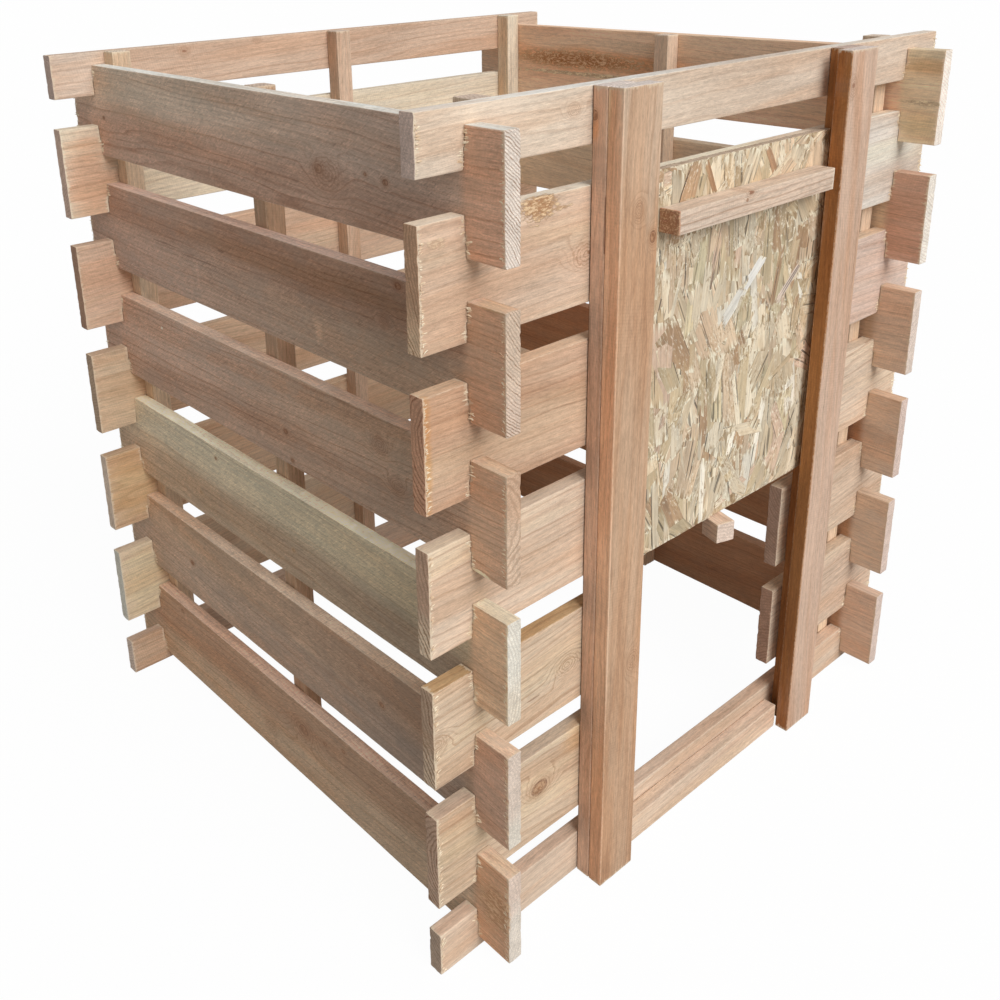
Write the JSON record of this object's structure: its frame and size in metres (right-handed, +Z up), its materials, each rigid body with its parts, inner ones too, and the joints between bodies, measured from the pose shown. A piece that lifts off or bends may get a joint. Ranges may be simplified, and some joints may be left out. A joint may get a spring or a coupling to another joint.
{
  "type": "wooden compost bin",
  "caption": "Square garden compost bin of notched sawn boards crossed at the corners with air gaps, open at the top, with a strand-board hatch that slides up in two guide posts.",
  "frame": {"origin": "on the ground, under the middle of the bin", "axes": "+Z up, -Y towards the front wall with the hatch, +X to the right of someone who stands inside the bin and faces its back wall"},
  "size_m": [1.05, 0.99, 1.105],
  "materials": {
    "heartwood": "sawn, untreated reddish softwood heartwood",
    "sapwood": "sawn, untreated pale softwood sapwood",
    "oriented_strand_board": "pressed strands, slightly glossy",
    "zinc_plated_steel": "dull zinc"
  },
  "bodies": {
    "bin": {"back_board_1": "sapwood", "back_board_2": "sapwood", "back_board_3": "sapwood", "back_board_4": "sapwood", "back_board_5": "sapwood", "back_board_bottom": "heartwood", "back_board_top": "heartwood", "corner_batten_back_left": "sapwood", "corner_batten_back_right": "sapwood", "corner_batten_front_left": "sapwood", "corner_batten_front_right": "sapwood", "front_board_1": "sapwood", "front_board_2": "sapwood", "front_board_3": "sapwood", "front_board_bottom": "heartwood", "front_board_top": "heartwood", "front_stub_left_4": "sapwood", "front_stub_left_5": "sapwood", "front_stub_right_4": "sapwood", "front_stub_right_5": "sapwood", "guide_cover_left": "heartwood", "guide_cover_right": "heartwood", "guide_spacer_left": "heartwood", "guide_spacer_right": "heartwood", "left_board_1": "sapwood", "left_board_2": "heartwood", "left_board_3": "sapwood", "left_board_4": "heartwood", "left_board_5": "sapwood", "left_board_6": "heartwood", "mid_batten_back": "heartwood", "mid_batten_left": "heartwood", "mid_batten_right": "heartwood", "post_screw_left_1": "zinc_plated_steel", "post_screw_left_3": "zinc_plated_steel", "post_screw_left_4": "zinc_plated_steel", "post_screw_left_5": "zinc_plated_steel", "post_screw_left_bottom": "zinc_plated_steel", "post_screw_left_top": "zinc_plated_steel", "post_screw_right_1": "zinc_plated_steel", "post_screw_right_3": "zinc_plated_steel", "post_screw_right_4": "zinc_plated_steel", "post_screw_right_5": "zinc_plated_steel", "post_screw_right_bottom": "zinc_plated_steel", "post_screw_right_top": "zinc_plated_steel", "right_board_1": "sapwood", "right_board_2": "heartwood", "right_board_3": "sapwood", "right_board_4": "heartwood", "right_board_5": "sapwood", "right_board_6": "heartwood", "threshold_screw_left": "zinc_plated_steel", "threshold_screw_right": "zinc_plated_steel", "threshold_strip": "heartwood"},
    "hatch": {"hatch_panel": "oriented_strand_board", "hatch_handle": "heartwood", "hatch_foot_block": "sapwood", "handle_screw_left": "zinc_plated_steel", "handle_screw_right": "zinc_plated_steel"}
  },
  "joints": [
    {"name": "hatch_slide", "type": "slide", "parent": "bin", "child": "hatch", "axis": [0, 0, 1], "range_m": [-0.401, 0.45]}
  ]
}
